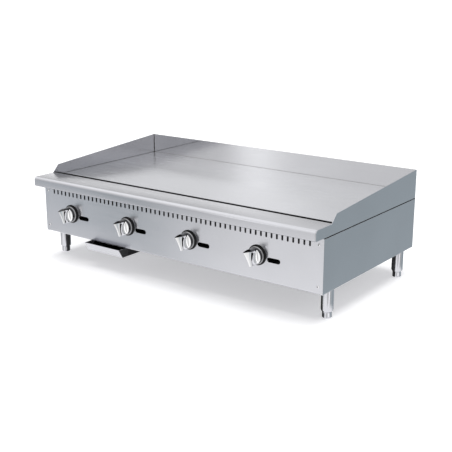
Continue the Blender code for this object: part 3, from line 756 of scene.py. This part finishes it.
def foot_bmesh(x, y, radius, top, stem_top):
    """Round foot with a rounded sole, six flats for a wrench and a stem that goes up into the leg."""
    stem = 0.0057
    profile = [
        (0, 0), (radius - 0.0040, 0), (radius - 0.0020, 0.0006), (radius - 0.0006, 0.002),
        (radius, 0.0042), (radius, top - 0.0012), (radius - 0.0010, top),
        (stem, top), (stem, stem_top), (0, stem_top),
    ]
    foot = lathe(profile, ROUND, at=(x, y, 0))
    flat_reach, first_flat = 0.905, 12
    for i in range(6):
        flat = box((radius * flat_reach, -0.02, 0.0045), (0.03, 0.02, top - 0.0035))
        turn = Matrix.Rotation(radians(60 * i + first_flat), 3, "Z")
        bmesh.ops.rotate(flat, matrix=turn, verts=flat.verts)
        bmesh.ops.translate(flat, vec=(x, y, 0), verts=flat.verts)
        foot = combined(foot, flat)
    return foot


def legs():
    """Four legs, each with its foot."""
    bore_clearance, stem_clearance = 0.001, 0.0013
    for row in ("front", "rear"):
        for side in ("left", "right"):
            name = f"{row}_{side}"
            leg_low, leg_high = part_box(f"leg_{name}")
            foot_low, foot_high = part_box(f"foot_{name}")
            x, y = (leg_low.x + leg_high.x) / 2, (leg_low.y + leg_high.y) / 2
            leg_radius = (leg_high.x - leg_low.x) / 2
            foot_radius = (foot_high.x - foot_low.x) / 2
            bore_top = foot_high.z + bore_clearance
            profile = leg_profile(leg_radius, leg_low.z, leg_high.z, bore_top)
            leg = lathe(profile, ROUND, at=(x, y, 0))
            piece(f"stand_leg_{name}", leg, STAINLESS_Z, replaces=[f"leg_{name}"],
                  angle=32)
            foot = foot_bmesh(x, y, foot_radius, leg_low.z - GAP, bore_top - stem_clearance)
            piece(f"stand_foot_{name}", foot, STAINLESS_Z, body=f"foot_{name}",
                  replaces=[f"foot_{name}"], angle=32)


def screws():
    """Button-head screws; their hexagonal socket is painted black as the shade in the recess."""
    socket, socket_floor = 0.0017, 0.0007
    shank, dome, dome_foot = 0.0020, 0.0020, 0.0002
    for i in range(1, 5):
        name = f"panel_screw_{i}"
        low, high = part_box(name)
        x, z = (low.x + high.x) / 2, (low.z + high.z) / 2
        radius, panel = (high.x - low.x) / 2, PANEL_LOW.y
        head = [(0, -dome_foot - dome)]
        for a in (15, 30, 45, 60, 75, 88):
            head.append((radius * sin(radians(a)), -dome_foot - dome * cos(radians(a))))
        head += [(radius, -GAP), (shank, -GAP), (shank, high.y - panel), (0, high.y - panel)]
        hexagon = polygon((x, z), socket, 6, start=10)
        drill = prism(hexagon, panel - 2 * dome, panel - socket_floor, "Y")
        screw = combined(lathe(head, 32, "Y", (x, panel, z)), drill)
        screw = piece(f"screw_{i}", screw, CHROME, replaces=[name], angle=32)
        # Painted shade: the faces inside the socket take the black moulding.
        screw.data.materials.append(BLACK)
        for face in screw.data.polygons:
            middle = face.center
            if hypot(middle.x - x, middle.z - z) < socket and middle.y < panel:
                face.material_index = 1


# ---------------------------------------------------------------- carried-over nodes

def finish_nodes():
    """Procedural finishes on the CAD nodes whose shape stays."""
    finishes = {
        GALVANISED: ["bottom_pan", "base_rail_left", "base_rail_right", "burner_rail_front",
                     "burner_rail_rear", "front_baffle", "pressure_regulator",
                     "drawer_rail_left", "drawer_rail_right", "grease_chute"],
        IRON: [f"burner_{i}" for i in range(1, 5)],
        BRASS: [f"{part}_{i}" for part in ("pilot", "gas_valve", "valve_stem") for i in range(1, 5)],
        PIPE: ["gas_manifold", "supply_pipe", "inlet_pipe"],
    }
    for material, names in finishes.items():
        for name in names:
            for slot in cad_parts[name].material_slots:
                slot.material = material


# ---------------------------------------------------------------- studio

# Levels of the studio's walls all the way round, as (turn, grey level or colour):
# turn 0 and 1 are behind, 0.25 is right, 0.5 in front and 0.75 left.
REAR_RIGHT = [(0.00, (0.42, 0.47, 0.50)), (0.10, (0.34, 0.39, 0.41)), (0.20, (0.44, 0.48, 0.50))]
LOW_WALL = REAR_RIGHT + [
    (0.295, 0.52), (0.310, 1.25), (0.345, 1.25), (0.365, 0.62), (0.42, 0.66), (0.45, 1.05),
    (0.560, 1.05), (0.576, 0.95), (0.585, 0.93), (0.608, 0.93), (0.615, (0.85, 0.86, 0.88)),
    (0.618, (0.50, 0.53, 0.54)), (0.6255, (0.52, 0.54, 0.56)), (0.628, (0.75, 0.76, 0.78)),
    (0.66, 0.74), (0.80, 0.66), (0.93, 0.50), (1.00, (0.42, 0.46, 0.50)),
]
MIDDLE_WALL = REAR_RIGHT + [
    (0.295, 0.50), (0.310, 1.25), (0.345, 1.25), (0.365, 0.56), (0.42, 0.60), (0.45, 1.00),
    (0.560, 1.00), (0.576, 0.88), (0.585, 0.85), (0.598, 0.78), (0.6045, 0.58), (0.608, 0.56),
    (0.612, (0.64, 0.66, 0.69)), (0.6165, (0.38, 0.43, 0.435)), (0.626, (0.35, 0.385, 0.41)),
    (0.630, (0.58, 0.62, 0.65)), (0.66, 0.62), (0.80, 0.60), (0.93, 0.50),
    (1.00, (0.42, 0.46, 0.50)),
]
HIGH_WALL = [
    (0.00, (0.40, 0.44, 0.48)), (0.08, (0.24, 0.25, 0.26)), (0.13, 0.19), (0.17, 0.26),
    (0.24, 0.70), (0.335, 0.85), (0.365, 0.64), (0.43, 0.64), (0.46, 0.90), (0.572, 0.80),
    (0.588, 0.90), (0.5922, 0.90), (0.5961, 2.90), (0.6000, 0.68), (0.604, 0.72), (0.612, 0.86),
    (0.635, 0.60), (0.70, 0.68), (0.80, 0.86), (0.87, 1.16), (0.903, 1.14), (0.911, 0.86),
    (0.917, 0.55), (0.94, 0.46), (1.00, (0.40, 0.44, 0.48)),
]
TOP_WALL = [
    (0.00, (0.40, 0.44, 0.48)), (0.16, 0.42), (0.24, 0.70), (0.335, 0.85), (0.365, 0.60),
    (0.43, 0.60), (0.46, 0.90), (0.58, 1.15), (0.61, 0.90), (0.70, 0.68), (0.86, 0.50),
    (0.893, 0.50), (0.900, 0.78), (0.912, 0.82), (0.94, 0.60), (1.00, (0.40, 0.44, 0.48)),
]
CEILING = (1.25, 1.25, 1.25)
ZENITH = (0.66, 0.66, 0.67)
GROUND = (1.03, 1.03, 1.04)
SEEN_BY_MATT = (0.36, 0.36, 0.36)
SEEN_BY_CAMERA = (1.0, 1.0, 1.0)


def studio_world():
    """Soft studio surroundings: bands of wall, a bright ceiling and a bright ground."""
    world = bpy.data.worlds.new("studio")
    bpy.context.scene.world = world
    world.use_nodes = True
    world.node_tree.nodes.clear()
    nodes = Nodes(world.node_tree)
    direction = nodes.add("ShaderNodeTexCoord").outputs["Generated"]
    split = nodes.add("ShaderNodeSeparateXYZ")
    nodes.join(direction, split.inputs[0])
    x, y, z = split.outputs
    turn = nodes.math("ARCTAN2", nodes.math("MULTIPLY", x, -1), nodes.math("MULTIPLY", y, -1))
    around = nodes.math("MULTIPLY_ADD", turn, 0.5 / pi, 0.5)
    low, middle, high, top = [nodes.ramp(around, wall)
                              for wall in (LOW_WALL, MIDDLE_WALL, HIGH_WALL, TOP_WALL)]

    def blend(factor, first, second):
        mix = nodes.add("ShaderNodeMix", data_type="RGBA")
        nodes.join(factor, mix.inputs["Factor"])
        for socket, value in ((mix.inputs[6], first), (mix.inputs[7], second)):
            if isinstance(value, tuple):
                socket.default_value = (*value, 1)
            else:
                nodes.join(value, socket)
        return mix.outputs[2]

    def step_between(start, end):
        node = nodes.add("ShaderNodeMapRange", interpolation_type="SMOOTHSTEP")
        node.inputs["From Min"].default_value = start
        node.inputs["From Max"].default_value = end
        nodes.join(z, node.inputs["Value"])
        return node.outputs["Result"]

    # The height of a direction, between straight down (-1) and straight up (1), picks the band.
    bands = [
        (-0.34, -0.25, middle), (-0.10, 0.10, high), (0.230, 0.250, top),
        (0.38, 0.70, CEILING), (0.82, 0.94, ZENITH), (-0.43, -0.62, GROUND),
    ]
    colour = low
    for start, end, band in bands:
        colour = blend(step_between(start, end), colour, band)
    path = nodes.add("ShaderNodeLightPath")
    colour = blend(path.outputs["Is Diffuse Ray"], colour, SEEN_BY_MATT)
    colour = blend(path.outputs["Is Camera Ray"], colour, SEEN_BY_CAMERA)
    background = nodes.add("ShaderNodeBackground")
    nodes.join(colour, background.inputs["Color"])
    output = nodes.add("ShaderNodeOutputWorld")
    nodes.join(background.outputs[0], output.inputs["Surface"])


def matt(name, grey):
    """Plain matt material and its shader."""
    material, _, shader = new_material(name, 0)
    shader.inputs["Base Color"].default_value = (grey, grey, grey, 1)
    shader.inputs["Roughness"].default_value = 1
    return material, shader


def hide_from(obj, *rays):
    """Make an object unseen by the named kinds of ray."""
    for ray in rays:
        setattr(obj, f"visible_{ray}", False)


def studio_floor():
    """Pale floor that only the camera sees, so that the metal mirrors the studio instead."""
    half_width = 60
    bm = bmesh.new()
    bmesh.ops.create_grid(bm, x_segments=2, y_segments=2, size=half_width)
    floor = placed("floor", bm)
    material, shader = matt("pale_floor", 0.80)
    shader.inputs["Specular IOR Level"].default_value = 0
    shader.inputs["Emission Color"].default_value = (0.99, 0.99, 1.02, 1)
    shader.inputs["Emission Strength"].default_value = 0.45
    floor.data.materials.append(material)
    hide_from(floor, "diffuse", "glossy", "transmission", "shadow", "volume_scatter")


def under_shade():
    """Deep shade beneath the casing for the legs and the drawer to mirror; only reflections see it."""
    side_inset, front_inset, rear_inset = 0.080, 0.070, 0.02
    below_floor, below_casing = 0.15, 0.002
    low = (-HALF + side_inset, FRONT + front_inset, -below_floor)
    high = (HALF - side_inset, BACK_HIGH.y - rear_inset, PANEL_LOW.z - below_casing)
    card = placed("under_shade", box(low, high))
    material, _ = matt("deep_shade", 0.05)
    card.data.materials.append(material)
    hide_from(card, "camera", "diffuse", "transmission", "shadow", "volume_scatter")


def studio_light():
    """Wide soft light from straight above, kept out of the reflections."""
    data = bpy.data.lights.new("overhead", "SUN")
    data.energy = 2.4
    data.angle = radians(48)
    lamp = bpy.data.objects.new("overhead", data)
    bpy.context.collection.objects.link(lamp)
    lamp.visible_glossy = False


def camera():
    """Long lens, looking from the front right and from a little above."""
    data = bpy.data.cameras.new("camera")
    data.sensor_width = 36
    data.lens = 70.444
    view = bpy.data.objects.new("camera", data)
    bpy.context.collection.objects.link(view)
    view.location = (1.8846, -2.5118, 1.0355)
    view.rotation_euler = (radians(74.175), 0, radians(36.655))
    bpy.context.scene.camera = view


plate_and_splashes()
front_ledge()
weld_beads()
trough()
front_panel()
side_panels()
rear_panel()
knobs()
drawer()
legs()
screws()
finish_nodes()
studio_world()
studio_floor()
under_shade()
studio_light()
camera()
bpy.context.scene.view_settings.view_transform = "Standard"
